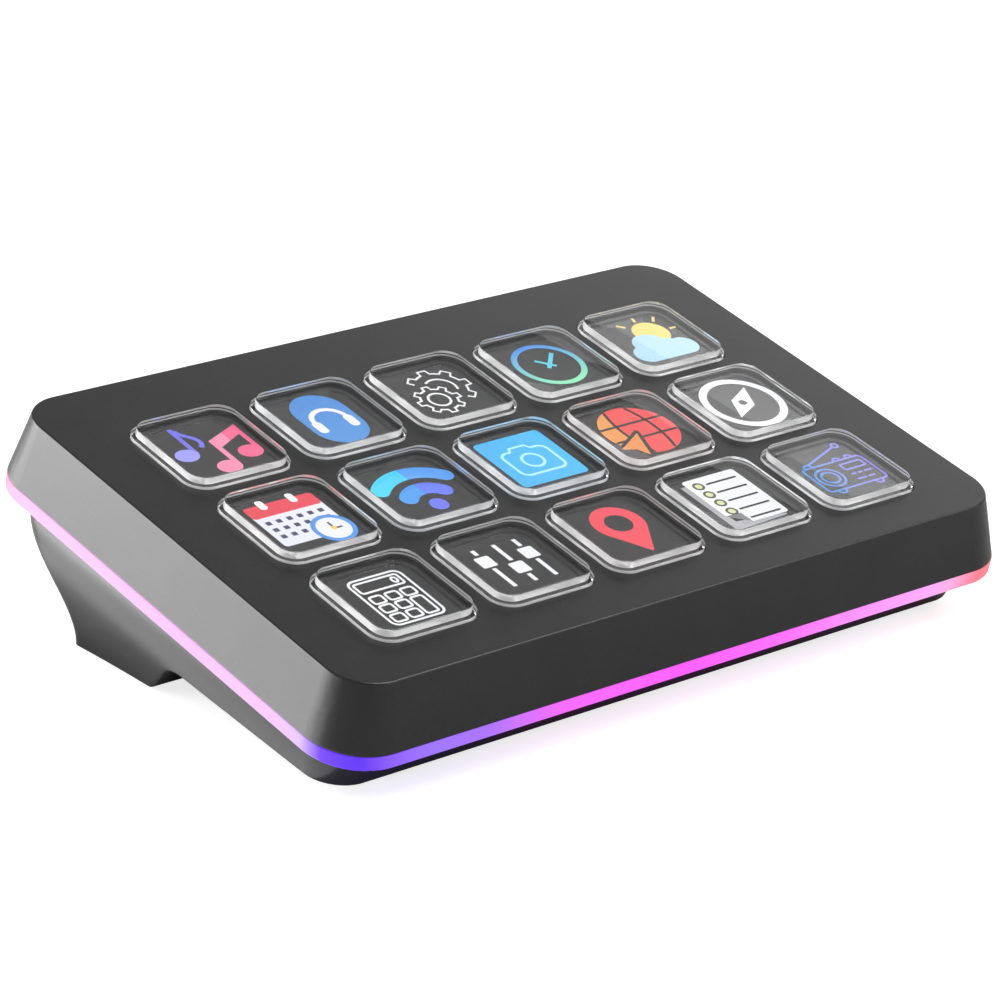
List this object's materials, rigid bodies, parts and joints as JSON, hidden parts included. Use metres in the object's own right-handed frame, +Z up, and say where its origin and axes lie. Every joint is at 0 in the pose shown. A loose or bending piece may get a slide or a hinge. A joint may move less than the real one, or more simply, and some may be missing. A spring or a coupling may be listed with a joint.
{
  "type": "stream controller",
  "caption": "Wedge-shaped desk control pad: clear picture keys over a display in a drafted cover, a glowing ring between cover and tapered base, and a rear leg that tilts the deck.",
  "frame": {"origin": "Middle of the bounding box in plan, on the desk plane that the feet stand on.", "axes": "+X to the right of the user, +Y away from the user towards the socket at the rear, +Z up. The deck is tilted towards the user by 13.76 degrees."},
  "size_m": [0.131, 0.0849, 0.0378],
  "materials": {
    "cover_plastic": "fine-grained charcoal plastic",
    "base_plastic": "fine-grained charcoal plastic, darker than the cover",
    "key_clear": "clear polished acrylic",
    "ring_plastic": "milky light guide, lit pink to violet",
    "display_glass": "dark display glass",
    "backlight_tray": "folded sheet tray",
    "silicone": "moulded silicone, matte",
    "circuit_film": "amber circuit film",
    "connector_plastic": "moulded connector plastic",
    "frame_plastic": "glass-filled plastic",
    "circuit_board": "green solder mask",
    "chip_plastic": "moulded chip package",
    "socket_steel": "drawn stainless shell",
    "lamp_plastic": "white lamp packages",
    "foot_rubber": "soft matte rubber",
    "screw_steel": "zinc-plated steel"
  },
  "bodies": {
    "housing": {"top_cover": "cover_plastic", "key_mat": "silicone", "switch_film": "circuit_film", "display_glass": "display_glass", "display_backlight": "backlight_tray", "display_ribbon": "circuit_film", "ribbon_connector": "connector_plastic", "mid_frame": "frame_plastic", "main_board": "circuit_board", "processor_chip": "chip_plastic", "memory_chip": "chip_plastic", "usb_socket": "socket_steel", "usb_tongue": "connector_plastic", "light_ring": "ring_plastic", "light_strip": "circuit_film", "lamps": "lamp_plastic", "base_shell": "base_plastic", "front_foot_left": "foot_rubber", "rear_foot_left": "foot_rubber", "front_foot_right": "foot_rubber", "rear_foot_right": "foot_rubber", "base_screws": "screw_steel", "cover_screws": "screw_steel", "board_screws": "screw_steel"},
    "key_r1_c1": {"key_r1_c1": "key_clear"},
    "key_r1_c2": {"key_r1_c2": "key_clear"},
    "key_r1_c3": {"key_r1_c3": "key_clear"},
    "key_r1_c4": {"key_r1_c4": "key_clear"},
    "key_r1_c5": {"key_r1_c5": "key_clear"},
    "key_r2_c1": {"key_r2_c1": "key_clear"},
    "key_r2_c2": {"key_r2_c2": "key_clear"},
    "key_r2_c3": {"key_r2_c3": "key_clear"},
    "key_r2_c4": {"key_r2_c4": "key_clear"},
    "key_r2_c5": {"key_r2_c5": "key_clear"},
    "key_r3_c1": {"key_r3_c1": "key_clear"},
    "key_r3_c2": {"key_r3_c2": "key_clear"},
    "key_r3_c3": {"key_r3_c3": "key_clear"},
    "key_r3_c4": {"key_r3_c4": "key_clear"},
    "key_r3_c5": {"key_r3_c5": "key_clear"}
  },
  "joints": [
    {"name": "key_r1_c1_press", "type": "slide", "parent": "housing", "child": "key_r1_c1", "axis": [0, 0.2379, -0.9713], "range_m": [0, 0.0006], "stiffness_N_per_m": 500, "springref_m": -0.0006, "deforming": ["key_mat"]},
    {"name": "key_r1_c2_press", "type": "slide", "parent": "housing", "child": "key_r1_c2", "axis": [0, 0.2379, -0.9713], "range_m": [0, 0.0006], "stiffness_N_per_m": 500, "springref_m": -0.0006, "deforming": ["key_mat"]},
    {"name": "key_r1_c3_press", "type": "slide", "parent": "housing", "child": "key_r1_c3", "axis": [0, 0.2379, -0.9713], "range_m": [0, 0.0006], "stiffness_N_per_m": 500, "springref_m": -0.0006, "deforming": ["key_mat"]},
    {"name": "key_r1_c4_press", "type": "slide", "parent": "housing", "child": "key_r1_c4", "axis": [0, 0.2379, -0.9713], "range_m": [0, 0.0006], "stiffness_N_per_m": 500, "springref_m": -0.0006, "deforming": ["key_mat"]},
    {"name": "key_r1_c5_press", "type": "slide", "parent": "housing", "child": "key_r1_c5", "axis": [0, 0.2379, -0.9713], "range_m": [0, 0.0006], "stiffness_N_per_m": 500, "springref_m": -0.0006, "deforming": ["key_mat"]},
    {"name": "key_r2_c1_press", "type": "slide", "parent": "housing", "child": "key_r2_c1", "axis": [0, 0.2379, -0.9713], "range_m": [0, 0.0006], "stiffness_N_per_m": 500, "springref_m": -0.0006, "deforming": ["key_mat"]},
    {"name": "key_r2_c2_press", "type": "slide", "parent": "housing", "child": "key_r2_c2", "axis": [0, 0.2379, -0.9713], "range_m": [0, 0.0006], "stiffness_N_per_m": 500, "springref_m": -0.0006, "deforming": ["key_mat"]},
    {"name": "key_r2_c3_press", "type": "slide", "parent": "housing", "child": "key_r2_c3", "axis": [0, 0.2379, -0.9713], "range_m": [0, 0.0006], "stiffness_N_per_m": 500, "springref_m": -0.0006, "deforming": ["key_mat"]},
    {"name": "key_r2_c4_press", "type": "slide", "parent": "housing", "child": "key_r2_c4", "axis": [0, 0.2379, -0.9713], "range_m": [0, 0.0006], "stiffness_N_per_m": 500, "springref_m": -0.0006, "deforming": ["key_mat"]},
    {"name": "key_r2_c5_press", "type": "slide", "parent": "housing", "child": "key_r2_c5", "axis": [0, 0.2379, -0.9713], "range_m": [0, 0.0006], "stiffness_N_per_m": 500, "springref_m": -0.0006, "deforming": ["key_mat"]},
    {"name": "key_r3_c1_press", "type": "slide", "parent": "housing", "child": "key_r3_c1", "axis": [0, 0.2379, -0.9713], "range_m": [0, 0.0006], "stiffness_N_per_m": 500, "springref_m": -0.0006, "deforming": ["key_mat"]},
    {"name": "key_r3_c2_press", "type": "slide", "parent": "housing", "child": "key_r3_c2", "axis": [0, 0.2379, -0.9713], "range_m": [0, 0.0006], "stiffness_N_per_m": 500, "springref_m": -0.0006, "deforming": ["key_mat"]},
    {"name": "key_r3_c3_press", "type": "slide", "parent": "housing", "child": "key_r3_c3", "axis": [0, 0.2379, -0.9713], "range_m": [0, 0.0006], "stiffness_N_per_m": 500, "springref_m": -0.0006, "deforming": ["key_mat"]},
    {"name": "key_r3_c4_press", "type": "slide", "parent": "housing", "child": "key_r3_c4", "axis": [0, 0.2379, -0.9713], "range_m": [0, 0.0006], "stiffness_N_per_m": 500, "springref_m": -0.0006, "deforming": ["key_mat"]},
    {"name": "key_r3_c5_press", "type": "slide", "parent": "housing", "child": "key_r3_c5", "axis": [0, 0.2379, -0.9713], "range_m": [0, 0.0006], "stiffness_N_per_m": 500, "springref_m": -0.0006, "deforming": ["key_mat"]}
  ]
}
